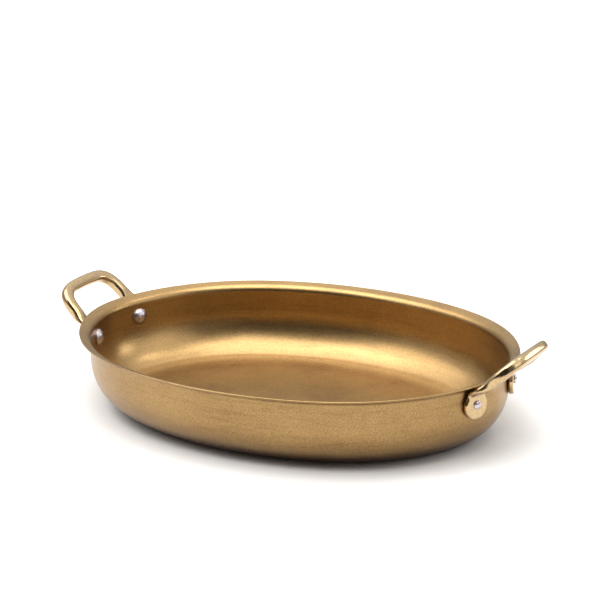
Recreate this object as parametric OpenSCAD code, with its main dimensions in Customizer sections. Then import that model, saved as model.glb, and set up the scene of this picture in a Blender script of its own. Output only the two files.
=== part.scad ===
// Oval dish pressed from one sheet, with a flared rim, two cast loop handles and four rivets.
// X runs along the dish and Z is up. The origin is on the table, under the middle of the base.

/* [Rim] */
// Length of the dish over its rim
rim_length = 260; // [245:1:280]
// Width of the dish over its rim
rim_width = 188; // [180:1:200]
// Radius of the rim's curve at the two ends
end_radius = 55; // [50:1:65]
// Radius of the rim's curve at the middle of the long sides
side_radius = 200; // [180:1:220]
// Height of the rim above the table
dish_height = 43; // [41:0.5:55]
// How far the rim stands out past the wall
lip_width = 5.7; // [5:0.1:7]
// Slope of the rim in degrees
lip_slope = 20; // [10:1:30]
// Radius of the bend from the wall into the rim, on its outer side
lip_bend = 3.4; // [2:0.1:3.8]

/* [Wall and base] */
// Thickness of the sheet
sheet = 1; // [0.8:0.1:1.6]
// Radius of the wall's curve down to the cone, on its outer side
corner_radius = 29; // [24:0.5:30]
// Slope of the cone between the wall's curve and the base in degrees
cone_slope = 35; // [32:1:40]
// Distance in from the rim to the edge of the flat base
base_inset = 26.5; // [25:0.5:29]
// Radius of the bend at the edge of the base, on its outer side
base_bend = 4; // [2.5:0.1:5.5]

/* [Handles] */
// Distance between the two rivets of a handle
rivet_pitch = 42; // [36:1:48]
// Distance from the rim down to the rivets
rivet_drop = 12; // [11.5:0.5:13]
// Diameter of a handle's pads
pad_width = 14.8; // [12:0.2:15.2]
// How far below its rivet the middle of a pad lies
pad_drop = 0.8; // [0.6:0.1:1.6]
// Thickness of a handle's pads
pad_thickness = 2.8; // [2.6:0.1:3.6]
// Distance up from a rivet to where the leg turns outwards
neck_height = 6.4; // [6:0.1:7]
// Width of a leg where it leaves its pad
neck_width = 10.6; // [9:0.2:11.4]
// Thickness of a leg where it leaves its pad
neck_thickness = 2.6; // [2.2:0.1:2.8]
// How far outside the rim a leg's centre line passes under it
leg_outset = 0.6; // [0.6:0.1:2.5]
// How far below the rim's top a leg's centre line passes under it
leg_drop = 4; // [3.8:0.1:5.5]
// Distance between the centre lines of the two legs under the rim
leg_span = 46; // [44:0.5:48]
// Distance between the loop's two corners
grip_span = 42.5; // [38:0.5:50]
// How far past the rim's end the loop's corners stand out
grip_out = 12.2; // [11:0.1:20]
// How far above the rim the loop's corners stand
grip_rise = 11.1; // [8:0.1:16]
// How much further out the middle of the grip stands than its corners
grip_bow = 1.6; // [0:0.1:4]
// Length that a corner's bend takes from each side
grip_bend = 13; // [6:0.5:14]
// Width of the grip's bar, in the plane of the loop
grip_width = 6.9; // [5:0.1:8]
// Thickness of the grip's bar
grip_thickness = 6.3; // [4:0.1:7]

/* [Rivets] */
// Diameter of a rivet's shank
shank_width = 5; // [4:0.1:6]
// Diameter of the domed head inside the dish
head_width = 9.6; // [8:0.1:11]
// Height of the domed head
head_height = 3; // [2:0.1:3.4]
// Diameter of the peened end outside
peen_width = 6; // [5.5:0.1:8]
// Height of the peened end
peen_height = 1; // [0.6:0.1:1.6]
// Clearance round the shank in its holes
shank_gap = 0.05; // [0.02:0.01:0.2]
// Clearance under the head, the pad and the peened end
seat_gap = 0.15; // [0.15:0.01:0.3]

/* [Hidden] */
// How far cuts run past what they cut
overrun = 2;
// Lengths that a leg's turns take from each side, at its neck and under the rim
neck_bend = 2.2;
under_bend = 5;
// Length over which a leg changes from its neck to the grip's bar
taper_length = 13;
// How square the grip's bar is: 2 is an ellipse, more is squarer
grip_squareness = 3;
// Radius of the rounded front edge of a pad
pad_edge = 1.1;
// Counts of steps round the dish, in its bends, along the handle's bends and round its bar
plan_steps = 88;
corner_steps = 6;
bend_steps = 3;
edge_steps = 4;
path_steps = 7;
bar_steps = 14;
// Facets of the round pieces
$fn = 64;

// The plan is the curve whose support, the distance from the middle to its tangent, is
// a0 + a2 cos 2a + a4 cos 4a + a6 cos 6a, where a is the direction of the tangent's normal.
// The four terms follow from the length, the width and the two radii of the rim.
half_length = rim_length / 2;
half_width = rim_width / 2;
mean_half = (half_length + half_width) / 2;
mean_radius = (end_radius + side_radius) / 2;
a4 = (mean_half - mean_radius) / 16;
a0 = mean_half - a4;
a6 = ((side_radius - end_radius) / 2 - 3 * (half_length - half_width) / 2) / 32;
a2 = (half_length - half_width) / 2 - a6;

function support(a) = a0 + a2 * cos(2 * a) + a4 * cos(4 * a) + a6 * cos(6 * a);
function slide(a) = -2 * a2 * sin(2 * a) - 4 * a4 * sin(4 * a) - 6 * a6 * sin(6 * a);
function normal_at(a) = [cos(a), sin(a), 0];
function tangent_at(a) = [-sin(a), cos(a), 0];
// Point of the plan whose normal has direction a, moved in by an inset, at a height
function plan_point(a, inset, z) =
    (support(a) - inset) * normal_at(a) + slide(a) * tangent_at(a) + [0, 0, z];

// Half the sheet is also the radius of the rim's rounded edge
edge_radius = sheet / 2;
lip_centre_inset = lip_width - lip_bend;
lip_length = (lip_width - (lip_bend + edge_radius) * (1 - sin(lip_slope))) / cos(lip_slope);
lip_centre_z = dish_height - edge_radius - (lip_bend + edge_radius) * cos(lip_slope)
    - lip_length * sin(lip_slope);
cone_foot_inset = base_inset - base_bend * sin(cone_slope);
cone_foot_z = base_bend * (1 - cos(cone_slope));
cone_top_inset = lip_width + corner_radius * (1 - sin(cone_slope));
cone_top_z = cone_foot_z + (cone_foot_inset - cone_top_inset) * tan(cone_slope);
corner_centre_z = cone_top_z + corner_radius * cos(cone_slope);

// Points [inset, height] of an arc that a section follows from one slope to another.
// A hollow arc has its centre above it, and a crest has its centre below.
function hollow(centre, radius, from, to, steps) = [
    for (i = [0:steps]) let (s = from + (to - from) * i / steps)
        centre + radius * [-sin(s), -cos(s)]
];
function crest(centre, radius, from, to, steps) = [
    for (i = [0:steps]) let (s = from + (to - from) * i / steps)
        centre + radius * [sin(s), cos(s)]
];
// One side of the sheet, from the edge of the base up to the rim, a depth in from its outer side
function sheet_side(depth) = concat(
    hollow([base_inset, base_bend], base_bend - depth, 0, cone_slope, bend_steps),
    hollow(
        [lip_width + corner_radius, corner_centre_z], corner_radius - depth,
        cone_slope, 90, corner_steps
    ),
    crest([lip_centre_inset, lip_centre_z], lip_bend + depth, 90, lip_slope, bend_steps)
);
function rim_edge() = [
    for (i = [0:edge_steps]) let (s = 180 + lip_slope + 180 * i / edge_steps)
        [edge_radius, dish_height - edge_radius] + edge_radius * [sin(s), cos(s)]
];
function reversed(list) = [for (i = [len(list) - 1:-1:0]) list[i]];
sheet_section = concat(sheet_side(0), rim_edge(), reversed(sheet_side(sheet)));

// Closed skin over rings of equal length, each a list of points, with a flat face on each end ring
module skin(rings) {
    count = len(rings[0]);
    points = [for (ring = rings) for (p = ring) p];
    walls = [
        for (k = [0:len(rings) - 2]) for (i = [0:count - 1])
            let (a = k * count + i, b = k * count + (i + 1) % count)
                [a, a + count, b + count, b]
    ];
    first = [for (i = [0:count - 1]) i];
    last = [for (i = [count - 1:-1:0]) (len(rings) - 1) * count + i];
    polyhedron(points = points, faces = concat([first], walls, [last]), convexity = 6);
}

// Inset of the wall's outer side at a height above the cone
function wall_inset(z) = z >= corner_centre_z ? lip_width
    : lip_width + corner_radius - sqrt(pow(corner_radius, 2) - pow(corner_centre_z - z, 2));
// Direction of the plan's normal where the plan, at an inset, is a distance y from the long axis
function wall_angle(y, inset, low, high, tries) =
    let (mid = (low + high) / 2)
        tries == 0 ? mid
        : plan_point(mid, inset, 0)[1] < y ? wall_angle(y, inset, mid, high, tries - 1)
        : wall_angle(y, inset, low, mid, tries - 1);
rivet_z = dish_height - rivet_drop;
rivet_inset = wall_inset(rivet_z);
rivet_angle = wall_angle(rivet_pitch / 2, rivet_inset, 0, 90, 30);
rivet_seat = plan_point(rivet_angle, rivet_inset, rivet_z);
rivet_axis = normal_at(rivet_angle);
// How far the hollow inner side of the wall comes in at the edge of a rivet's flat seat,
// from the wall's curve along the dish and from its curve down to the cone
plan_radius = a0 - 3 * a2 * cos(2 * rivet_angle) - 15 * a4 * cos(4 * rivet_angle)
    - 35 * a6 * cos(6 * rivet_angle);
head_sink = pow(head_width / 2, 2) / (2 * (plan_radius - rivet_inset - sheet))
    + wall_inset(rivet_z - head_width / 2) - rivet_inset;

// Puts children on the wall at the right back rivet, with Z pointing out along its axis
module at_rivet() {
    translate(rivet_seat) rotate([0, 90, rivet_angle]) children();
}

// Centre line of the back half of the right handle, from its pad to the middle of the grip
leg_foot = rivet_seat + (seat_gap + pad_thickness / 2) * rivet_axis;
neck_point = leg_foot + [0, 0, neck_height];
under_angle = wall_angle(leg_span / 2, -leg_outset, 0, 90, 30);
under_point = plan_point(under_angle, -leg_outset, dish_height - leg_drop);
corner_point = [half_length + grip_out, grip_span / 2, dish_height + grip_rise];
loop_slope = atan((corner_point[2] - under_point[2]) / (corner_point[0] - under_point[0]));
loop_out = [cos(loop_slope), 0, sin(loop_slope)];
loop_up = [-sin(loop_slope), 0, cos(loop_slope)];
grip_middle = [corner_point[0], 0, corner_point[2]] + grip_bow * loop_out;

function flip(p) = [p[0], -p[1], p[2]];
half_stops = [leg_foot, neck_point, under_point, corner_point];
stops = concat(half_stops, [grip_middle], [for (p = reversed(half_stops)) flip(p)]);
half_cuts = [0, neck_bend, under_bend, grip_bend];
cuts = concat(half_cuts, [grip_bend], reversed(half_cuts));
function unit(v) = v / norm(v);
// A bend of the centre line at stop i is a parabola that touches both sides at the cut's length
function bend(i, t) =
    let (
        before = stops[i] + min(cuts[i], norm(stops[i - 1] - stops[i]) / 2)
            * unit(stops[i - 1] - stops[i]),
        after = stops[i] + min(cuts[i], norm(stops[i + 1] - stops[i]) / 2)
            * unit(stops[i + 1] - stops[i])
    )
    pow(1 - t, 2) * before + 2 * t * (1 - t) * stops[i] + t * t * after;
centre_line = concat(
    [stops[0]],
    [for (i = [1:len(stops) - 2]) for (k = [0:path_steps]) bend(i, k / path_steps)],
    [stops[len(stops) - 1]]
);
function run_length(path, i) = i == 0 ? 0 : norm(path[i] - path[i - 1]) + run_length(path, i - 1);
line_length = run_length(centre_line, len(centre_line) - 1);
function eased(t) = let (u = min(max(t, 0), 1)) u * u * (3 - 2 * u);
// One ring of the bar: a rounded box section, square to the centre line at point i
function bar_ring(i) =
    let (
        last = len(centre_line) - 1,
        ahead = unit(centre_line[min(i + 1, last)] - centre_line[max(i - 1, 0)]),
        run = run_length(centre_line, i),
        share = eased((min(run, line_length - run) - neck_height) / taper_length),
        wall_side = run < line_length / 2 ? -rivet_axis : flip(-rivet_axis),
        lean = (1 - share) * wall_side + share * loop_up,
        up = unit(lean - (lean * ahead) * ahead),
        across = cross(up, ahead),
        half_across = (neck_width + (grip_width - neck_width) * share) / 2,
        half_up = (neck_thickness + (grip_thickness - neck_thickness) * share) / 2,
        power = 2 / grip_squareness
    )
    [
        for (k = [0:bar_steps - 1])
            let (
                turn = 360 * (k + 0.5) / bar_steps,
                side = sign(cos(turn)) * pow(abs(cos(turn)), power),
                rise = sign(sin(turn)) * pow(abs(sin(turn)), power)
            )
            centre_line[i] + side * half_across * across + rise * half_up * up
    ];

module pad() {
    round_from = pad_thickness - pad_edge;
    translate([pad_drop, 0, seat_gap]) rotate_extrude() union() {
        square([pad_width / 2 - pad_edge, pad_thickness]);
        square([pad_width / 2, round_from]);
        translate([pad_width / 2 - pad_edge, round_from]) intersection() {
            circle(r = pad_edge);
            square(pad_edge);
        }
    }
}

module rivet_hole() {
    hole_start = -sheet - seat_gap - overrun;
    hole_end = seat_gap + pad_thickness + overrun;
    translate([0, 0, hole_start]) cylinder(d = shank_width + 2 * shank_gap, h = hole_end - hole_start);
}

// Part of a ball, flat below and domed above
module dome(width, height) {
    radius = (pow(width / 2, 2) + pow(height, 2)) / (2 * height);
    rotate_extrude() intersection() {
        translate([0, height - radius]) circle(r = radius);
        square([width / 2, height]);
    }
}

module rivet() {
    head_seat = -sheet - seat_gap - head_sink;
    peen_seat = 2 * seat_gap + pad_thickness;
    color("lightgray") at_rivet() {
        translate([0, 0, head_seat]) mirror([0, 0, 1]) dome(head_width, head_height);
        translate([0, 0, head_seat]) cylinder(d = shank_width, h = peen_seat - head_seat);
        translate([0, 0, peen_seat]) dome(peen_width, peen_height);
    }
}

module handle() {
    color("goldenrod") difference() {
        union() {
            skin([for (i = [0:len(centre_line) - 1]) bar_ring(i)]);
            for (side = [0, 1]) mirror([0, side, 0]) at_rivet() pad();
        }
        for (side = [0, 1]) mirror([0, side, 0]) at_rivet() rivet_hole();
    }
}

module dish_body() {
    color("darkgoldenrod") difference() {
        skin([
            for (p = sheet_section)
                [for (i = [0:plan_steps - 1]) plan_point(360 * i / plan_steps, p[0], p[1])]
        ]);
        for (end = [0, 1], side = [0, 1])
            mirror([end, 0, 0]) mirror([0, side, 0]) at_rivet() rivet_hole();
    }
}

module left_handle() mirror([1, 0, 0]) handle();
module right_handle() handle();
module rivet_left_front() mirror([1, 0, 0]) mirror([0, 1, 0]) rivet();
module rivet_left_back() mirror([1, 0, 0]) rivet();
module rivet_right_front() mirror([0, 1, 0]) rivet();
module rivet_right_back() rivet();

dish_body();
left_handle();
right_handle();
rivet_left_front();
rivet_left_back();
rivet_right_front();
rivet_right_back();
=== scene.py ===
import math

import bmesh
import bpy
import numpy as np
from bpy.props import FloatProperty, FloatVectorProperty, PointerProperty
from mathutils import Matrix, Vector


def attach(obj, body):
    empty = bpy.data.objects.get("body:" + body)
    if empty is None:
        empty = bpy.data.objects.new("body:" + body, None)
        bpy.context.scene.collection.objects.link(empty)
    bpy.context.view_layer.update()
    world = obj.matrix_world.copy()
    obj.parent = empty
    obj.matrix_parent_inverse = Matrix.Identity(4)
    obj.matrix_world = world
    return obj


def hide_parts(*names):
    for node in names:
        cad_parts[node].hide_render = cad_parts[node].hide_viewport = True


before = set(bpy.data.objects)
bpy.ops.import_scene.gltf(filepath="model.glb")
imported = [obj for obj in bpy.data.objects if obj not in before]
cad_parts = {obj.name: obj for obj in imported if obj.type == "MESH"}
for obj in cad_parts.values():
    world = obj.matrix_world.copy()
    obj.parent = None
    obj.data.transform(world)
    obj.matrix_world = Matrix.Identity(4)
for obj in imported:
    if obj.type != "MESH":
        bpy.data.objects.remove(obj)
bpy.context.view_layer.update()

bl_info = {
    "name": "Oval Dish",
    "version": (1, 0, 0),
    "blender": (4, 5, 0),
    "location": "View3D > Sidebar > Oval Dish",
    "description": "Makes an oval dish of gold-coloured sheet with two handles and four rivets",
    "category": "Add Mesh",
}

MM = 0.001
UP = np.array([0, 0, 1.0])
MIRROR_Y = np.array([1, -1, 1])

# The signs of X and Y that turn the right back rivet into each of the four
RIVET_PLACES = {
    "rivet_left_front": (-1, -1),
    "rivet_left_back": (-1, 1),
    "rivet_right_front": (1, -1),
    "rivet_right_back": (1, 1),
}

# Points round the dish and round a rivet
AROUND_DISH = 384
AROUND_RIVET = 64
# Where points lie on a straight run of the sheet's section, as shares of its length
RUN_SHARES = np.array([0.03, 0.2, 0.5, 0.8, 0.97, 1])
# Where rings lie on the flat base, as shares of the way from its middle to its edge
BASE_SHARES = np.array([0, 0.1, 0.25, 0.45, 0.65, 0.82, 0.94, 0.99])
# Where points lie on a flat side of the bar, as shares of its length
SIDE_SHARES = np.array([0.05, 0.2, 0.35, 0.5, 0.65, 0.8, 0.95])

# Sections along the round end of a pad, and from there to the middle of the grip
PAD_SECTIONS = 22
LEG_SECTIONS = 120
# Even steps along the handle's path, and how many to each side smooth out its kinks
PATH_STEPS = 1200
SMOOTHING_STEPS = 20
# Share of the pad's radius over which it narrows to the neck
NECK_EASE = 0.9
# The most that an edge's radius takes of half a side
EDGE_LIMIT = 0.98
# Keeps a section that has shrunk to a point from dividing by nothing
TINY = 1e-9
# Points closer than this, in metres, are one
MERGE_DISTANCE = 1e-7

# Softboxes: the angle round the dish from its right end and the angle above the table in degrees,
# the distance, the length and the width in mm, and the watts
SOFTBOXES = {
    "top_softbox": (250, 78, 1250, (1300, 1050), 12.5),
    "left_softbox": (206, 46, 1250, (1000, 700), 4.6),
    "right_softbox": (0, 30, 1250, (700, 600), 0.8),
    "back_softbox": (42, 56, 1250, (260, 260), 0.9),
    "low_softbox": (46, 23, 550, (180, 140), 0.28),
}
# Heights between which the white tent gets brighter, as the sine of the angle above the table
TENT_FADE = (0.05, 0.85)
# The tent's open front and the dark room on its left: the direction of the middle, and the
# cosines of the angles from it where the opening begins and where it is full
OPEN_FRONT = ((0.5, -0.78, 0.38), 0.74, 0.9)
DARK_SIDE = ((-0.02, -0.94, 0.34), 0.76, 0.9)
# Half the side of the floor, and its height just below the base, in metres
FLOOR_REACH = 6.0
FLOOR_HEIGHT = -0.0002


def linear(hex_colour):
    """Linear red, green and blue of an sRGB hex colour: each channel below 0.04045 is divided by
    12.92, and each above is ((c + 0.055) / 1.055) to the power 2.4."""
    share = [int(hex_colour[i:i + 2], 16) / 255 for i in (1, 3, 5)]
    return tuple(c / 12.92 if c <= 0.04045 else ((c + 0.055) / 1.055) ** 2.4 for c in share)


def length(name, millimetres, description):
    """A length property whose default is given in millimetres."""
    return FloatProperty(
        name=name, description=description, default=millimetres * MM, min=0, precision=5,
        unit="LENGTH",
    )


def angle(name, degrees, description):
    """An angle property whose default is given in degrees."""
    return FloatProperty(
        name=name, description=description, default=math.radians(degrees), unit="ROTATION"
    )


def colour(name, default, description):
    """A colour property whose default is an sRGB hex value."""
    return FloatVectorProperty(
        name=name, description=description, default=linear(default), size=3, min=0, max=1,
        subtype="COLOR",
    )


class SheetSizes(bpy.types.PropertyGroup):
    """Sizes of the pressed sheet."""

    rim_length: length("Rim length", 260, "Length of the dish over its rim")
    rim_width: length("Rim width", 188, "Width of the dish over its rim")
    end_radius: length("End radius", 55, "Radius of the rim's curve at the two ends")
    side_radius: length("Side radius", 200, "Radius of the rim's curve at the long sides")
    dish_height: length("Height", 43, "Height of the rim above the table")
    lip_width: length("Lip width", 5.7, "How far the rim stands out past the wall")
    lip_slope: angle("Lip slope", 20, "Slope of the rim")
    lip_bend: length("Lip bend", 3.4, "Radius of the bend under the rim")
    sheet: length("Sheet", 1, "Thickness of the sheet")
    corner_radius: length("Corner radius", 29, "Radius of the wall's curve down to the cone")
    cone_slope: angle("Cone slope", 35, "Slope of the cone round the base")
    base_inset: length("Base inset", 28, "Distance in from the rim to the flat base")
    base_bend: length("Base bend", 15, "Radius of the bend round the base, outside")
    shelf_slope: angle("Shelf slope", 19, "Slope of the narrow shelf inside, at the cone's foot")
    shelf_width: length("Shelf width", 0.5, "Width of the shelf at the cone's foot")
    shelf_bend: length("Shelf bend", 8, "Radius of the bend from the cone into the shelf")
    step_slope: angle("Step slope", 23, "Slope of the soft step from the shelf to the base")
    step_crest: length("Step crest", 2, "Radius of the step's upper bend")
    step_foot: length("Step foot", 26, "Radius of the step's lower bend")


class HandleSizes(bpy.types.PropertyGroup):
    """Sizes of the cast handles."""

    pad_width: length("Pad width", 14.8, "Diameter of a handle's pads")
    pad_drop: length("Pad drop", 0.8, "How far below its rivet the middle of a pad lies")
    pad_thickness: length("Pad thickness", 2.8, "Thickness of a handle's pads")
    pad_edge: length("Pad edge", 1.1, "Radius of the pads' rounded front edge")
    neck_height: length("Neck height", 6.4, "From a rivet up to where the leg turns outwards")
    neck_width: length("Neck width", 10.6, "Width of a leg where it leaves its pad")
    neck_thickness: length("Neck thickness", 2.6, "Thickness of a leg where it leaves its pad")
    leg_outset: length("Leg outset", 0.6, "How far outside the rim a leg passes under it")
    leg_drop: length("Leg drop", 4, "How far below the rim's top a leg passes under it")
    leg_span: length("Leg span", 46, "Distance between the legs under the rim")
    grip_span: length("Grip span", 42.5, "Distance between the loop's corners")
    grip_out: length("Grip out", 12.2, "How far past the rim's end the corners stand out")
    grip_rise: length("Grip rise", 11.1, "How far above the rim the corners stand")
    grip_bow: length("Grip bow", 1.6, "How much further out the middle of the grip stands")
    grip_bend: length("Grip bend", 13, "Length that a corner's bend takes from each side")
    grip_width: length("Grip width", 6.9, "Width of the grip's bar in the plane of the loop")
    grip_thickness: length("Grip thickness", 6.3, "Thickness of the grip's bar")
    bar_edge: length("Bar edge", 1.7, "Radius of the bar's rounded edges")
    squareness: FloatProperty(
        name="Squareness", description="Power of the bar's curve, which 2 makes an ellipse",
        default=2.8,
    )
    neck_bend: length("Neck bend", 2.4, "Length that the neck's bend takes from each side")
    under_bend: length("Under bend", 5, "Length that the bend under the rim takes")
    taper_length: length("Taper length", 13, "Length over which a leg becomes the grip's bar")


class RivetSizes(bpy.types.PropertyGroup):
    """Sizes and places of the rivets."""

    pitch: length("Pitch", 42, "Distance between the two rivets of a handle")
    drop: length("Drop", 12, "Distance from the rim down to the rivets")
    head_width: length("Head width", 9.6, "Diameter of the domed head inside the dish")
    head_height: length("Head height", 3, "Height of the domed head")
    head_edge: length("Head edge", 0.3, "Radius of the head's rounded edge")
    head_sink: length("Head sink", 0.26, "How far the hollow wall rises under the head's edge")
    peen_width: length("Peen width", 4.8, "Diameter of the peened end outside")
    peen_height: length("Peen height", 1.4, "Height of the peened end")
    seat_gap: length("Seat gap", 0.15, "Clearance under the head, the pad and the peened end")


class Finishes(bpy.types.PropertyGroup):
    """Colours of the finishes and of the floor."""

    gold: colour("Gold", "#BC9A64", "Colour of the sheet's gold-coloured surface")
    # The colour that the sheet's painted shade and its random darker tone mix towards, and the
    # handles' tarnish
    patina_and_shade: colour("Patina", "#5E3C18", "Colour of the sheet where it is darkened")
    brass: colour("Brass", "#C4A87C", "Colour of the cast handles")
    steel: colour("Steel", "#D6CED2", "Colour of the rivets")
    floor: colour("Floor", "#F4F3F1", "Colour of the floor")


class Studio(bpy.types.PropertyGroup):
    """The photograph's viewing angle and the lights."""

    azimuth: angle("Azimuth", 31.506, "Direction of the camera round the dish")
    elevation: angle("Elevation", 17.94, "Height of the camera's direction over the horizon")
    roll: angle("Roll", -1.714, "Turn of the camera about its own axis")
    distance: length("Distance", 1273.86, "Distance from the camera to its target")
    aim_right: length("Aim right", 3.331, "Distance of the target to the right of the origin")
    aim_up: length("Aim up", 60.853, "Distance of the target above the origin, in the picture")
    focal: FloatProperty(
        name="Focal length", description="Focal length on a sensor 36 mm wide", default=137.52
    )
    sky: FloatProperty(
        name="Sky", description="Brightness of the white tent overhead", default=1.6
    )
    horizon: FloatProperty(
        name="Horizon", description="Brightness of the tent near the horizon", default=0.5
    )
    opening: FloatProperty(
        name="Opening", description="Brightness of the tent's open front", default=0.22
    )
    dark_side: FloatProperty(
        name="Dark side", description="Brightness of the dark room on the camera's left",
        default=0.04,
    )


def plan(sheet, turn, inset):
    """Points of the dish's plan. The distance from the middle to the tangent whose normal has
    direction t is a0 + a2 cos 2t + a4 cos 4t + a6 cos 6t, less the inset. The point lies at that
    distance along the normal, and at the derivative of the distance along the tangent."""
    half_length, half_width = sheet.rim_length / 2, sheet.rim_width / 2
    mean_half = (half_length + half_width) / 2
    a4 = (mean_half - (sheet.end_radius + sheet.side_radius) / 2) / 16
    a6 = ((sheet.side_radius - sheet.end_radius) / 2 - 3 * (half_length - half_width) / 2) / 32
    a2 = (half_length - half_width) / 2 - a6
    orders = np.array([0, 2, 4, 6])
    terms = np.array([mean_half - a4, a2, a4, a6])
    turns = np.multiply.outer(turn, orders)
    reach = (terms * np.cos(turns)).sum(-1) - inset
    slide = -(terms * orders * np.sin(turns)).sum(-1)
    cos, sin = np.cos(turn), np.sin(turn)
    return np.stack([reach * cos - slide * sin, reach * sin + slide * cos], -1)


def walk(start, slope, moves):
    """A section as rows of inset and height. It starts at a point, going inwards and down at a
    slope. A move (length,) goes straight on. A move (radius, slope, steps) turns to a new slope:
    on an arc the point moves by the radius times the change of sine of the slope inwards, and of
    its cosine upwards."""
    rows = [np.array([start])]
    for move in moves:
        here = rows[-1][-1]
        if len(move) == 1:
            ahead = np.array([math.cos(slope), -math.sin(slope)])
            rows.append(here + RUN_SHARES[:, None] * move[0] * ahead)
        else:
            radius, target, steps = move
            run = slope + (target - slope) * np.arange(1, steps + 1) / steps
            arc = np.stack([np.sin(run) - math.sin(slope), np.cos(run) - math.cos(slope)], -1)
            rows.append(here + math.copysign(radius, target - slope) * arc)
            slope = target
    return np.concatenate(rows)


def sheet_section(sheet):
    """The sheet's section without its flat base, in three parts: the outside from the edge of the
    base up, the round edge of the rim, and the inside down to the base again. Both sides make the
    same walk with other radii: lip, bend, wall, curve and cone. At the base the outside makes one
    wide bend, and the inside a narrow shelf and a soft step."""
    edge = sheet.sheet / 2
    lip, upright, cone = sheet.lip_slope, math.pi / 2, sheet.cone_slope
    edge_centre = np.array([edge, sheet.dish_height - edge])
    lip_normal = np.array([math.sin(lip), math.cos(lip)])
    lip_run = (sheet.lip_width - (sheet.lip_bend + edge) * (1 - math.sin(lip))) / math.cos(lip)
    cone_foot = (
        sheet.base_inset - sheet.base_bend * math.sin(cone),
        sheet.base_bend * (1 - math.cos(cone)),
    )
    cone_top = sheet.lip_width + sheet.corner_radius * (1 - math.sin(cone))
    cone_run = (cone_foot[0] - cone_top) / math.cos(cone)
    corner_z = cone_foot[1] + cone_run * math.sin(cone) + sheet.corner_radius * math.cos(cone)
    bend_z = edge_centre[1] - lip_run * math.sin(lip) - (sheet.lip_bend + edge) * math.cos(lip)
    outside = walk(edge_centre - edge * lip_normal, lip, [
        (lip_run,), (sheet.lip_bend, upright, 8), (bend_z - corner_z,),
        (sheet.corner_radius, cone, 22), (cone_run,), (sheet.base_bend, 0, 10),
    ])
    foot = [
        (sheet.shelf_bend, sheet.shelf_slope, 5), (sheet.shelf_width,),
        (sheet.step_crest, sheet.step_slope, 6), (sheet.step_foot, 0, 9),
    ]
    foot_drop = -walk((0, 0), cone, foot)[-1][1]
    inner_radius = sheet.corner_radius - sheet.sheet
    inner_top = corner_z - inner_radius * math.cos(cone)
    inner_run = (inner_top - foot_drop - sheet.sheet) / math.sin(cone)
    inside = walk(edge_centre + edge * lip_normal, lip, [
        (lip_run,), (sheet.lip_bend + sheet.sheet, upright, 12), (bend_z - corner_z,),
        (inner_radius, cone, 22), (inner_run,), *foot,
    ])
    turn = np.pi + lip + np.pi * np.arange(1, 8) / 8
    rim = edge_centre + edge * np.stack([np.sin(turn), np.cos(turn)], -1)
    return outside[::-1], rim, inside


def sheet_rings(sheet, around):
    """Rings of the dish's skin: a section carried round the plan. Over the flat base the rings
    are the base's edge drawn in towards the middle by shares. Also whether each point is outside,
    at 1, or inside, at 0."""
    outside, rim, inside = sheet_section(sheet)
    rows = np.concatenate([outside, rim, inside])
    turn = 2 * np.pi * np.arange(around) / around
    plans = plan(sheet, turn[None], rows[:, :1])
    shares, flat = BASE_SHARES[:, None, None], len(BASE_SHARES)
    plans = np.concatenate([shares * plans[0], plans, shares[::-1] * plans[-1]])
    height = np.concatenate([
        np.full(flat, rows[0, 1]), rows[:, 1], np.full(flat, rows[-1, 1])
    ])
    heights = np.broadcast_to(height[:, None, None], (*plans.shape[:2], 1))
    outer = np.concatenate([
        np.ones(flat + len(outside)), np.linspace(1, 0, len(rim)), np.zeros(len(inside) + flat)
    ])
    rings = np.concatenate([plans, heights], -1)
    return rings, np.broadcast_to(outer[:, None], plans.shape[:2])


def plan_turn(sheet, inset, y):
    """The direction of the normal where the plan, at an inset, lies a distance y from the long
    axis. It is found by halving the range from 0 to a right angle, 40 times."""
    low, high = 0.0, math.pi / 2
    for _ in range(40):
        middle = (low + high) / 2
        if plan(sheet, np.array(middle), inset)[1] < y:
            low = middle
        else:
            high = middle
    return low


def wall_seat(sheet, rivet):
    """The point on the wall's outer side where a right back rivet sits, and its axis."""
    turn = plan_turn(sheet, sheet.lip_width, rivet.pitch / 2)
    x, y = plan(sheet, np.array(turn), sheet.lip_width)
    axis = np.array([math.cos(turn), math.sin(turn), 0])
    return np.array([x, y, sheet.dish_height - rivet.drop]), axis


def unit(v):
    """Vectors scaled to length 1."""
    return v / np.linalg.norm(v, axis=-1, keepdims=True)


def eased(t):
    """0 below 0, 1 above 1, and 3 t squared less 2 t cubed between."""
    t = np.clip(t, 0, 1)
    return t * t * (3 - 2 * t)


def rounded_path(stops, cuts, steps=16):
    """A path through stops whose corners are parabolas: (1 - t) squared times the point where the
    bend starts, plus 2 t (1 - t) times the stop, plus t squared times the point where it ends."""
    t = np.linspace(0, 1, steps)[:, None]
    rows = [stops[:1]]
    for before, stop, after, cut in zip(stops, stops[1:], stops[2:], cuts[1:]):
        start = stop + unit(before - stop) * min(cut, np.linalg.norm(before - stop) / 2)
        end = stop + unit(after - stop) * min(cut, np.linalg.norm(after - stop) / 2)
        rows.append((1 - t) ** 2 * start + 2 * t * (1 - t) * stop + t * t * end)
    rows.append(stops[-1:])
    return np.concatenate(rows)


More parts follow.
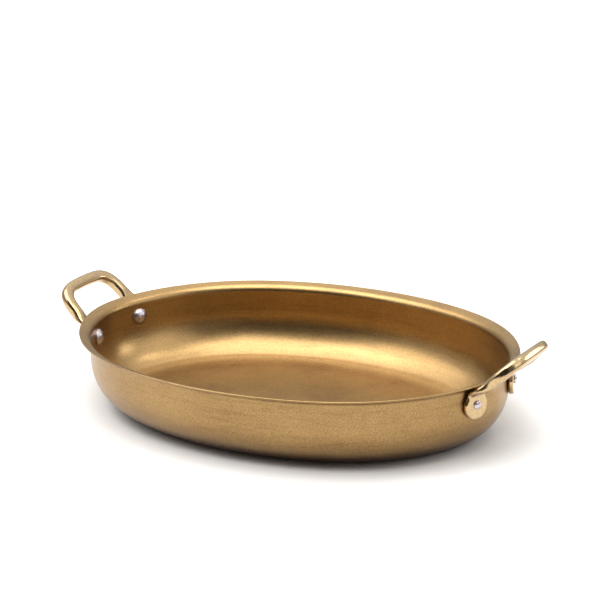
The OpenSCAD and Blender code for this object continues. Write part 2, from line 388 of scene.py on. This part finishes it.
def handle_path(sheet, handle, rivet):
    """The right handle's path: from the foot of the back pad up the wall to the neck, out under
    the rim to a corner of the loop, through the middle of the grip, and down the same way to the
    foot of the front pad. Also the direction square to the loop that points up."""
    seat, axis = wall_seat(sheet, rivet)
    pad_middle = seat + (rivet.seat_gap + handle.pad_thickness / 2) * axis
    foot = pad_middle - (handle.pad_width / 2 + handle.pad_drop) * UP
    neck = pad_middle + handle.neck_height * UP
    end, top = sheet.rim_length / 2, sheet.dish_height
    turn = plan_turn(sheet, -handle.leg_outset, handle.leg_span / 2)
    under = np.array([*plan(sheet, np.array(turn), -handle.leg_outset), top - handle.leg_drop])
    corner = np.array([end + handle.grip_out, handle.grip_span / 2, top + handle.grip_rise])
    slope = math.atan2(corner[2] - under[2], corner[0] - under[0])
    loop_out = np.array([math.cos(slope), 0, math.sin(slope)])
    loop_up = np.array([-math.sin(slope), 0, math.cos(slope)])
    middle = corner * np.array([1, 0, 1]) + handle.grip_bow * loop_out
    half = np.array([foot, neck, under, corner])
    cuts = [0, handle.neck_bend, handle.under_bend, handle.grip_bend]
    stops = np.concatenate([half, [middle], (half * MIRROR_Y)[::-1]])
    return rounded_path(stops, [*cuts, handle.grip_bend, *cuts[::-1]]), loop_up


def between(at, runs, rows):
    """Points read off in a straight line between rows, at runs along them."""
    return np.stack([np.interp(at, runs, rows[:, i]) for i in range(3)], -1)


def smoothed(line):
    """The runs and the points of a path in even steps, with its kinks smoothed: each point is the
    mean of its neighbours, weighted by a raised cosine. Past each end goes the end's own mirror
    image through the end point, so the ends stay in place."""
    run = np.concatenate([[0], np.cumsum(np.linalg.norm(np.diff(line, axis=0), axis=1))])
    even = np.linspace(0, run[-1], PATH_STEPS + 1)
    rows = between(even, run, line)
    weight = np.hanning(2 * SMOOTHING_STEPS + 1)
    weight /= weight.sum()
    longer = np.concatenate([
        rows[:1] + (rows[:1] - rows[SMOOTHING_STEPS:0:-1]), rows,
        rows[-1:] + (rows[-1:] - rows[-2:-SMOOTHING_STEPS - 2:-1]),
    ])
    return even, np.stack([np.convolve(longer[:, i], weight, "valid") for i in range(3)], -1)


def handle_rings(sheet, handle, rivet):
    """Rings of the right handle: sections of a bar carried along its path. The bar leans from the
    wall's direction at the pads to the loop's at the grip."""
    axis = wall_seat(sheet, rivet)[1]
    line, loop_up = handle_path(sheet, handle, rivet)
    even, path = smoothed(line)
    total, pad_radius = even[-1], handle.pad_width / 2
    pad_runs = pad_radius * (1 - np.cos(np.linspace(0, np.pi / 2, PAD_SECTIONS)))
    leg_runs = np.linspace(pad_radius, total / 2, LEG_SECTIONS)[1:]
    half_runs = np.concatenate([pad_runs, leg_runs])
    at = np.concatenate([half_runs, total - half_runs[-2::-1]])
    place = between(at, even, path)
    ahead = unit(between(at, even, unit(np.gradient(path, axis=0))))
    near = np.minimum(at, total - at)
    past_rivet = near - (pad_radius + handle.pad_drop)
    to_grip = eased((past_rivet - handle.neck_height) / handle.taper_length)
    wall_side = np.where((at < total / 2)[:, None], -axis, -axis * MIRROR_Y)
    lean = (1 - to_grip[:, None]) * wall_side + to_grip[:, None] * loop_up
    rise = unit(lean - (lean * ahead).sum(-1, keepdims=True) * ahead)
    across = np.cross(rise, ahead)
    x, z = bar_sections(handle, near, past_rivet, to_grip)
    return place[:, None] + x[..., None] * across[:, None] + z[..., None] * rise[:, None]


def bar_sections(handle, near, past_rivet, to_grip):
    """Sections of the handle's bar, for runs from the nearer foot and from the rivet, and for
    shares of the way to the grip. Near a foot the half width at a distance d is the square root
    of R squared less (R - d) squared, so the pad is round. Then it eases to the neck's width, and
    along the leg to the grip's. At the foot the outer edge is a quarter circle."""
    pad_radius, pad_half_up, edge = handle.pad_width / 2, handle.pad_thickness / 2, handle.pad_edge
    pad_half = np.sqrt(np.maximum(pad_radius ** 2 - np.maximum(pad_radius - near, 0) ** 2, 0))
    to_neck = eased(past_rivet / (NECK_EASE * pad_radius))
    half_width = pad_half + to_neck * (handle.neck_width / 2 - pad_radius)
    half_width += to_grip * (handle.grip_width - handle.neck_width) / 2
    half_up = pad_half_up + to_neck * (handle.neck_thickness / 2 - pad_half_up)
    half_up += to_grip * (handle.grip_thickness - handle.neck_thickness) / 2
    short = edge - np.sqrt(edge ** 2 - np.maximum(edge - near, 0) ** 2)
    radius = edge + to_grip * (handle.bar_edge - edge)
    radius = np.minimum(radius, EDGE_LIMIT * np.minimum(half_width, half_up - short / 2))
    crown = eased(past_rivet / handle.taper_length)
    x, z = bar_points(half_width, half_up - short / 2, radius, crown, handle.squareness)
    return x, z + short[:, None] / 2


def bar_points(half_width, half_up, radius, crown, squareness):
    """Points of the bar's sections, one section for each row. A rounded box has a quarter circle
    at each corner and points at shares of each flat side. A crowned bar has its points at the same
    turns, on the curve whose sum of the x share and the z share, each to the power of the
    squareness, is 1. The section lies between the two, by the row's crown from 0 to 1."""
    half_width, half_up, radius = (rows[:, None] for rows in (half_width, half_up, radius))
    quarter = np.linspace(0, np.pi / 2, 8)
    corners = [(1, 1), (-1, 1), (-1, -1), (1, -1)]
    x, z = [], []
    for k, (sign_x, sign_z) in enumerate(corners):
        turn = quarter + k * np.pi / 2
        x.append(sign_x * (half_width - radius) + radius * np.cos(turn))
        z.append(sign_z * (half_up - radius) + radius * np.sin(turn))
        sign_x, sign_z = corners[(k + 1) % 4]
        start_x, start_z = x[-1][:, -1:], z[-1][:, -1:]
        end_x = sign_x * (half_width - radius) + radius * math.cos(turn[-1])
        end_z = sign_z * (half_up - radius) + radius * math.sin(turn[-1])
        x.append(start_x + SIDE_SHARES * (end_x - start_x))
        z.append(start_z + SIDE_SHARES * (end_z - start_z))
    x, z = np.concatenate(x, 1), np.concatenate(z, 1)
    share_x, share_z = x / np.maximum(half_width, TINY), z / np.maximum(half_up, TINY)
    reach = (abs(share_x) ** squareness + abs(share_z) ** squareness) ** (1 / squareness)
    scale = 1 + crown[:, None] * (1 / np.maximum(reach, TINY) - 1)
    return x * scale, z * scale


def dome_rows(width, height, edge, skirt):
    """Half section of a dome as rows of radius and height: a ball's cap from the axis, a rounded
    edge that is a parabola, and a skirt down past its seat, closed at the axis."""
    cap_height = height - edge
    ball = ((width / 2) ** 2 + cap_height ** 2) / (2 * cap_height)
    reach = math.asin((width / 2 - edge * 0.6) / ball)
    turn = np.linspace(0, reach, 18)
    cap = np.stack([ball * np.sin(turn), height - ball * (1 - np.cos(turn))], -1)
    start = cap[-1]
    t = np.linspace(0, 1, 7)[1:, None]
    # The edge leaves the cap 0.6 of its radius in from the side, and ends 1.2 of it lower down
    knee = np.array([width / 2, start[1] - 0.3 * edge])
    low = np.array([width / 2, start[1] - 1.2 * edge])
    bend = (1 - t) ** 2 * start + 2 * t * (1 - t) * knee + t * t * low
    return np.concatenate([cap, bend, [[width / 2, -skirt], [0, -skirt]]])


def lathe(rows, around, place, axis, side):
    """Rings of a profile carried round an axis that lies level: at a turn t, a row of radius r and
    height h is the place plus h along the axis, r cos t along the side and r sin t up."""
    turn = 2 * np.pi * np.arange(around) / around
    ring = np.cos(turn)[:, None] * side + np.sin(turn)[:, None] * UP
    return place + rows[:, 1, None, None] * axis + rows[:, 0, None, None] * ring


def skin(name, rings, outer=None):
    """A closed mesh over rings of equal length. Points that coincide are merged, so a ring that
    has shrunk to a point or a line closes the skin, and faces are turned outwards. Its attribute
    outer is 1 where a point is outside the dish and 0 where it is inside."""
    count, around = rings.shape[:2]
    index = np.arange(count * around).reshape(count, around)
    beside = np.roll(index, -1, axis=1)
    faces = np.stack([index[:-1], beside[:-1], beside[1:], index[1:]], -1).reshape(-1, 4)
    mesh = bpy.data.meshes.new(name)
    mesh.vertices.add(count * around)
    mesh.vertices.foreach_set("co", rings.astype(np.float32).ravel())
    mesh.loops.add(faces.size)
    mesh.loops.foreach_set("vertex_index", faces.astype(np.int32).ravel())
    mesh.polygons.add(len(faces))
    mesh.polygons.foreach_set("loop_start", np.arange(0, faces.size, 4, dtype=np.int32))
    mesh.update(calc_edges=True)
    if outer is not None:
        layer = mesh.attributes.new("outer", "FLOAT", "POINT")
        layer.data.foreach_set("value", np.ascontiguousarray(outer, dtype=np.float32).ravel())
    shape = bmesh.new()
    shape.from_mesh(mesh)
    bmesh.ops.remove_doubles(shape, verts=shape.verts, dist=MERGE_DISTANCE)
    bmesh.ops.recalc_face_normals(shape, faces=shape.faces)
    shape.to_mesh(mesh)
    shape.free()
    mesh.polygons.foreach_set("use_smooth", np.ones(len(mesh.polygons), dtype=bool))
    mesh.update()
    piece = bpy.data.objects.new(name, mesh)
    bpy.context.scene.collection.objects.link(piece)
    return piece


def dress(piece, material, slot, *nodes):
    """Gives a piece its material, puts it on the one body and hides the CAD nodes that it
    replaces. Its slot is not used."""
    piece.data.materials.append(material)
    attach(piece, "root")
    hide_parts(*nodes)


def add(tree, kind, links=None, **settings):
    """Adds a node with its own settings. Each input gets a value or a link to an output."""
    made = tree.nodes.new(kind)
    for name, value in settings.items():
        setattr(made, name, value)
    for socket, source in (links or {}).items():
        if isinstance(source, bpy.types.NodeSocket):
            tree.links.new(source, made.inputs[socket])
        else:
            made.inputs[socket].default_value = source
    return made


def per_metre(millimetres):
    """Noise scale on coordinates in metres that gives features of a size in millimetres."""
    return 1 / (millimetres * MM)


def new_material(name):
    """An empty material, its node tree and its output node."""
    material = bpy.data.materials.new(name)
    material.use_nodes = True
    tree = material.node_tree
    tree.nodes.clear()
    return material, tree, add(tree, "ShaderNodeOutputMaterial")


def tumbled_gold_sheet(finish):
    """Brass sheet with an antique gold finish, tumbled with small stones after pressing, under a
    thin clear lacquer. To the eye that is a satin metal with a fine speckle, cloudy patches and
    faint streaks along the walls. The flat floor inside, the whole outside and, most of all, the
    outside low down are painted darker, as painted shade for the dark reflections there."""
    material, tree, output = new_material("tumbled_gold_sheet")
    place = add(tree, "ShaderNodeTexCoord").outputs["Object"]
    outer = add(tree, "ShaderNodeAttribute", attribute_name="outer").outputs["Fac"]
    height = add(tree, "ShaderNodeSeparateXYZ", {"Vector": place}).outputs["Z"]
    cloud = add(tree, "ShaderNodeTexNoise", {
        "Vector": place, "Scale": per_metre(24), "Detail": 4.0, "Roughness": 0.6})
    mottle = add(tree, "ShaderNodeTexNoise", {
        "Vector": place, "Scale": per_metre(1.8), "Detail": 3.0, "Roughness": 0.7})
    # The real grit is about 0.2 mm: it is drawn at 0.7 mm, the finest that shows
    grit = add(tree, "ShaderNodeTexNoise", {
        "Vector": place, "Scale": per_metre(0.7), "Detail": 2.0, "Roughness": 0.6})
    # Squeezed in height, so each streak is twelve times as long as it is high
    squeezed = add(tree, "ShaderNodeVectorMath", {0: place, 1: (1, 1, 12)}, operation="MULTIPLY")
    streaks = add(tree, "ShaderNodeTexNoise", {
        "Vector": squeezed.outputs[0], "Scale": per_metre(26), "Detail": 3.0, "Roughness": 0.6})
    cloud_tone = add(tree, "ShaderNodeMapRange", {
        "Value": cloud.outputs["Fac"], "From Min": 0.3, "From Max": 0.7,
        "To Min": 0.0, "To Max": 0.14})
    grit_tone = add(tree, "ShaderNodeMapRange", {
        "Value": grit.outputs["Fac"], "From Min": 0.3, "From Max": 0.7,
        "To Min": 0.0, "To Max": 0.4})
    streak_tone = add(tree, "ShaderNodeMapRange", {
        "Value": streaks.outputs["Fac"], "From Min": 0.5, "From Max": 0.75,
        "To Min": 0.0, "To Max": 0.16})
    # Painted shade: the flat floor inside is darkened, standing in for the dark reflection of the
    # walls that it shows; it is also duller than the walls
    painted_floor_shade = add(tree, "ShaderNodeMapRange", {
        "Value": height, "From Min": 2.6 * MM, "From Max": 1.1 * MM,
        "To Min": 0.0, "To Max": 0.24}, interpolation_type="SMOOTHSTEP")
    # Painted shade: the whole outside is darkened by a fixed share, and the floor inside by the
    # painted floor shade
    painted_side_shade = add(tree, "ShaderNodeMix", {"Factor": outer, 2: painted_floor_shade.outputs[0], 3: 0.16})
    # Painted shade: the outside is darkened from 12 mm high down to the table, standing in for the
    # dark reflection of the shaded table under the dish
    low = add(tree, "ShaderNodeMapRange", {
        "Value": height, "From Min": 12 * MM, "From Max": 1 * MM,
        "To Min": 0.0, "To Max": 1.0}, interpolation_type="SMOOTHSTEP")
    painted_low_shade = add(tree, "ShaderNodeMath", {0: low.outputs[0], 1: outer}, operation="MULTIPLY")
    tone = add(tree, "ShaderNodeMath", {
        0: cloud_tone.outputs[0], 1: streak_tone.outputs[0]}, operation="ADD")
    for more in (grit_tone, painted_side_shade):
        tone = add(tree, "ShaderNodeMath", {
            0: tone.outputs[0], 1: more.outputs[0]}, operation="ADD")
    # Share of the patina colour: the painted low shade, plus the random tone and the painted side
    # and floor shade
    dark = add(tree, "ShaderNodeMath", {
        0: painted_low_shade.outputs[0], 1: 0.8, 2: tone.outputs[0]}, operation="MULTIPLY_ADD",
        use_clamp=True)
    base = add(tree, "ShaderNodeMix", {
        "Factor": dark.outputs[0], 6: (*finish.gold, 1), 7: (*finish.patina_and_shade, 1)}, data_type="RGBA")
    inner_satin = add(tree, "ShaderNodeMapRange", {
        "Value": height, "From Min": 1 * MM, "From Max": 9 * MM,
        "To Min": 0.42, "To Max": 0.26}, interpolation_type="SMOOTHSTEP")
    satin = add(tree, "ShaderNodeMix", {"Factor": outer, 2: inner_satin.outputs[0], 3: 0.32})
    rough = add(tree, "ShaderNodeMath", {
        0: mottle.outputs["Fac"], 1: 0.12, 2: satin.outputs[0]}, operation="MULTIPLY_ADD")
    bump = add(tree, "ShaderNodeBump", {
        "Height": grit.outputs["Fac"], "Strength": 0.12, "Distance": 0.2 * MM})
    shader = add(tree, "ShaderNodeBsdfPrincipled", {
        "Base Color": base.outputs[2], "Roughness": rough.outputs[0], "Normal": bump.outputs[0],
        "Metallic": 1.0, "Coat Weight": 0.3, "Coat Roughness": 0.32})
    tree.links.new(shader.outputs[0], output.inputs["Surface"])
    return material


def polished_cast_brass(finish):
    """Brass cast in sand, polished on a wheel and lacquered: bright, with soft waves left by the
    casting and a fine brown tarnish in its pores."""
    material, tree, output = new_material("polished_cast_brass")
    place = add(tree, "ShaderNodeTexCoord").outputs["Object"]
    waves = add(tree, "ShaderNodeTexNoise", {
        "Vector": place, "Scale": per_metre(5), "Detail": 2.0, "Roughness": 0.5})
    tarnish = add(tree, "ShaderNodeTexNoise", {
        "Vector": place, "Scale": per_metre(1.2), "Detail": 3.0, "Roughness": 0.7})
    tarnish_share = add(tree, "ShaderNodeMapRange", {
        "Value": tarnish.outputs["Fac"], "From Min": 0.35, "From Max": 0.75,
        "To Min": 0.0, "To Max": 0.35})
    tone = add(tree, "ShaderNodeMix", {
        "Factor": tarnish_share.outputs[0], 6: (*finish.brass, 1), 7: (*finish.patina_and_shade, 1)},
        data_type="RGBA")
    rough = add(tree, "ShaderNodeMapRange", {
        "Value": tarnish.outputs["Fac"], "From Min": 0.3, "From Max": 0.7,
        "To Min": 0.1, "To Max": 0.24})
    bump = add(tree, "ShaderNodeBump", {
        "Height": waves.outputs["Fac"], "Strength": 0.14, "Distance": 0.4 * MM})
    shader = add(tree, "ShaderNodeBsdfPrincipled", {
        "Base Color": tone.outputs[2], "Roughness": rough.outputs[0], "Normal": bump.outputs[0],
        "Metallic": 1.0, "Coat Weight": 0.6, "Coat Roughness": 0.12})
    tree.links.new(shader.outputs[0], output.inputs["Surface"])
    return material


def bright_steel(finish):
    """Steel rivet stock, headed cold and tumbled bright: a silver metal with a soft sheen and
    small dents from the hammer."""
    material, tree, output = new_material("bright_steel")
    place = add(tree, "ShaderNodeTexCoord").outputs["Object"]
    dents = add(tree, "ShaderNodeTexNoise", {
        "Vector": place, "Scale": per_metre(1.6), "Detail": 2.0, "Roughness": 0.6})
    rough = add(tree, "ShaderNodeMapRange", {
        "Value": dents.outputs["Fac"], "From Min": 0.3, "From Max": 0.7,
        "To Min": 0.22, "To Max": 0.36})
    bump = add(tree, "ShaderNodeBump", {
        "Height": dents.outputs["Fac"], "Strength": 0.2, "Distance": 0.2 * MM})
    tone = add(tree, "ShaderNodeMix", {
        "Factor": dents.outputs["Fac"], 6: (*finish.steel, 1),
        7: (*[0.7 * c for c in finish.steel], 1)}, data_type="RGBA")
    shader = add(tree, "ShaderNodeBsdfPrincipled", {
        "Base Color": tone.outputs[2], "Roughness": rough.outputs[0], "Normal": bump.outputs[0],
        "Metallic": 1.0})
    tree.links.new(shader.outputs[0], output.inputs["Surface"])
    return material


def pale_paper(finish):
    """Matt white paper on the table: pale, with no gloss."""
    material, tree, output = new_material("pale_paper")
    shader = add(tree, "ShaderNodeBsdfDiffuse", {"Color": (*finish.floor, 1)})
    tree.links.new(shader.outputs[0], output.inputs["Surface"])
    return material


def softbox(name, around, above, distance, size, watts):
    """A rectangular soft light that faces the dish, in a direction given by two angles. Like a
    real one outside the picture, it shows in reflections and not to the camera."""
    data = bpy.data.lights.new(name, "AREA")
    data.shape = "RECTANGLE"
    data.size, data.size_y = (side * MM for side in size)
    data.energy = watts
    light = bpy.data.objects.new(name, data)
    around, above = math.radians(around), math.radians(above)
    away = Vector((
        math.cos(around) * math.cos(above), math.sin(around) * math.cos(above), math.sin(above)))
    light.location = away * distance * MM
    light.rotation_euler = away.to_track_quat("Z", "Y").to_euler()
    light.visible_camera = False
    return light


def paper_floor(finish):
    """The sheet of paper that the dish stands on, a square."""
    corners = [(-1, -1), (1, -1), (1, 1), (-1, 1)]
    mesh = bpy.data.meshes.new("floor")
    mesh.from_pydata(
        [(x * FLOOR_REACH, y * FLOOR_REACH, FLOOR_HEIGHT) for x, y in corners], [], [(0, 1, 2, 3)])
    mesh.materials.append(pale_paper(finish))
    return bpy.data.objects.new("floor", mesh)


def white_tent(studio):
    """A white tent round the dish: brighter overhead than near the table, dim where its front is
    open, and dark on the camera's left."""
    world = bpy.data.worlds.new("white_tent")
    world.use_nodes = True
    tree = world.node_tree
    tree.nodes.clear()
    direction = add(tree, "ShaderNodeTexCoord").outputs["Generated"]
    height = add(tree, "ShaderNodeSeparateXYZ", {"Vector": direction}).outputs["Z"]
    strength = add(tree, "ShaderNodeMapRange", {
        "Value": height, "From Min": TENT_FADE[0], "From Max": TENT_FADE[1],
        "To Min": studio.horizon, "To Max": studio.sky}, interpolation_type="SMOOTHSTEP")
    openings = ((OPEN_FRONT, studio.opening), (DARK_SIDE, studio.dark_side))
    for (middle, begins, full), brightness in openings:
        toward = add(tree, "ShaderNodeVectorMath", {
            0: direction, 1: Vector(middle).normalized()}, operation="DOT_PRODUCT")
        share = add(tree, "ShaderNodeMapRange", {
            "Value": toward.outputs["Value"], "From Min": begins, "From Max": full,
            "To Min": 0.0, "To Max": 1.0}, interpolation_type="SMOOTHSTEP")
        strength = add(tree, "ShaderNodeMix", {
            "Factor": share.outputs[0], 2: strength.outputs[0], 3: brightness})
    background = add(tree, "ShaderNodeBackground", {"Strength": strength.outputs[0]})
    add(tree, "ShaderNodeOutputWorld", {"Surface": background.outputs[0]})
    return world


def studio_camera(studio):
    """The camera at the photograph's viewing angle. Its target lies off the origin by a distance
    to the right and a distance up, as seen in the picture."""
    azimuth, elevation, roll = studio.azimuth, studio.elevation, studio.roll
    back = Vector((
        math.sin(azimuth) * math.cos(elevation), -math.cos(azimuth) * math.cos(elevation),
        math.sin(elevation),
    ))
    right = Vector((math.cos(azimuth), math.sin(azimuth), 0))
    up = back.cross(right)
    place = right * studio.aim_right + up * studio.aim_up + back * studio.distance
    turned_right = right * math.cos(roll) + up * math.sin(roll)
    turned_up = up * math.cos(roll) - right * math.sin(roll)
    data = bpy.data.cameras.new("camera")
    data.sensor_width = 36
    data.lens = studio.focal
    camera = bpy.data.objects.new("camera", data)
    camera.matrix_world = Matrix((
        (turned_right.x, turned_up.x, back.x, place.x),
        (turned_right.y, turned_up.y, back.y, place.y),
        (turned_right.z, turned_up.z, back.z, place.z),
        (0, 0, 0, 1),
    ))
    return camera


class OVALDISH_OT_make_sheet(bpy.types.Operator):
    """Make the pressed dish"""

    bl_idname = "oval_dish.make_sheet"
    bl_label = "Pressed Dish"

    def execute(self, context):
        rings, outer = sheet_rings(context.scene.dish_sheet, AROUND_DISH)
        piece = skin("pressed_dish", rings, outer)
        dress(piece, tumbled_gold_sheet(context.scene.dish_finish), "dish", "dish_body")
        return {"FINISHED"}


class OVALDISH_OT_make_handles(bpy.types.Operator):
    """Make the two cast handles"""

    bl_idname = "oval_dish.make_handles"
    bl_label = "Cast Handles"

    def execute(self, context):
        scene = context.scene
        rings = handle_rings(scene.dish_sheet, scene.dish_handle, scene.dish_rivet)
        brass = polished_cast_brass(scene.dish_finish)
        for side, sign in (("right", 1), ("left", -1)):
            piece = skin(side + "_cast_handle", rings * np.array([sign, 1, 1]))
            dress(piece, brass, "handle", side + "_handle")
        return {"FINISHED"}


class OVALDISH_OT_make_rivets(bpy.types.Operator):
    """Make the four rivets"""

    bl_idname = "oval_dish.make_rivets"
    bl_label = "Rivets"

    def execute(self, context):
        scene = context.scene
        sheet, rivet = scene.dish_sheet, scene.dish_rivet
        seat, axis = wall_seat(sheet, rivet)
        side = np.array([-axis[1], axis[0], 0])
        head_seat = sheet.sheet + rivet.seat_gap + rivet.head_sink
        peen_seat = 2 * rivet.seat_gap + scene.dish_handle.pad_thickness
        head = dome_rows(rivet.head_width, rivet.head_height, rivet.head_edge, head_seat)
        peen = dome_rows(rivet.peen_width, rivet.peen_height, rivet.head_edge, peen_seat)
        steel = bright_steel(scene.dish_finish)
        inner = lathe(head, AROUND_RIVET, seat - head_seat * axis, -axis, side)
        outer = lathe(peen, AROUND_RIVET, seat + peen_seat * axis, axis, side)
        for node, (x_sign, y_sign) in RIVET_PLACES.items():
            flip = np.array([x_sign, y_sign, 1])
            inside = skin(node + "_head", inner * flip)
            outside = skin(node + "_peen", outer * flip)
            dress(inside, steel, "rivet", node)
            dress(outside, steel, "rivet", node)
        return {"FINISHED"}


class OVALDISH_OT_make_stage(bpy.types.Operator):
    """Make the floor, the lights and the camera"""

    bl_idname = "oval_dish.make_stage"
    bl_label = "Studio"

    def execute(self, context):
        scene, studio = context.scene, context.scene.dish_studio
        floor = paper_floor(scene.dish_finish)
        scene.collection.objects.link(floor)
        for name, values in SOFTBOXES.items():
            scene.collection.objects.link(softbox(name, *values))
        scene.world = white_tent(studio)
        scene.view_settings.view_transform = "Standard"
        camera = studio_camera(studio)
        scene.collection.objects.link(camera)
        scene.camera = camera
        return {"FINISHED"}


class OVALDISH_PT_panel(bpy.types.Panel):
    """Lists the pieces and the sizes of the oval dish"""

    bl_label = "Oval Dish"
    bl_idname = "OVALDISH_PT_panel"
    bl_space_type = "VIEW_3D"
    bl_region_type = "UI"
    bl_category = "Oval Dish"

    def draw(self, context):
        for operator in OPERATORS:
            self.layout.operator(operator.bl_idname)
        for name, group in GROUPS.items():
            box = self.layout.box()
            for field in group.__annotations__:
                box.prop(getattr(context.scene, name), field)


GROUPS = {
    "dish_sheet": SheetSizes,
    "dish_handle": HandleSizes,
    "dish_rivet": RivetSizes,
    "dish_finish": Finishes,
    "dish_studio": Studio,
}
OPERATORS = (
    OVALDISH_OT_make_sheet, OVALDISH_OT_make_handles, OVALDISH_OT_make_rivets,
    OVALDISH_OT_make_stage,
)


def register():
    for group in (*GROUPS.values(), *OPERATORS, OVALDISH_PT_panel):
        bpy.utils.register_class(group)
    for name, group in GROUPS.items():
        setattr(bpy.types.Scene, name, PointerProperty(type=group))


def unregister():
    for name in GROUPS:
        delattr(bpy.types.Scene, name)
    for group in (OVALDISH_PT_panel, *OPERATORS, *GROUPS.values()):
        bpy.utils.unregister_class(group)


def main():
    register()
    bpy.ops.oval_dish.make_sheet()
    bpy.ops.oval_dish.make_handles()
    bpy.ops.oval_dish.make_rivets()
    bpy.ops.oval_dish.make_stage()


if __name__ == "__main__":
    main()
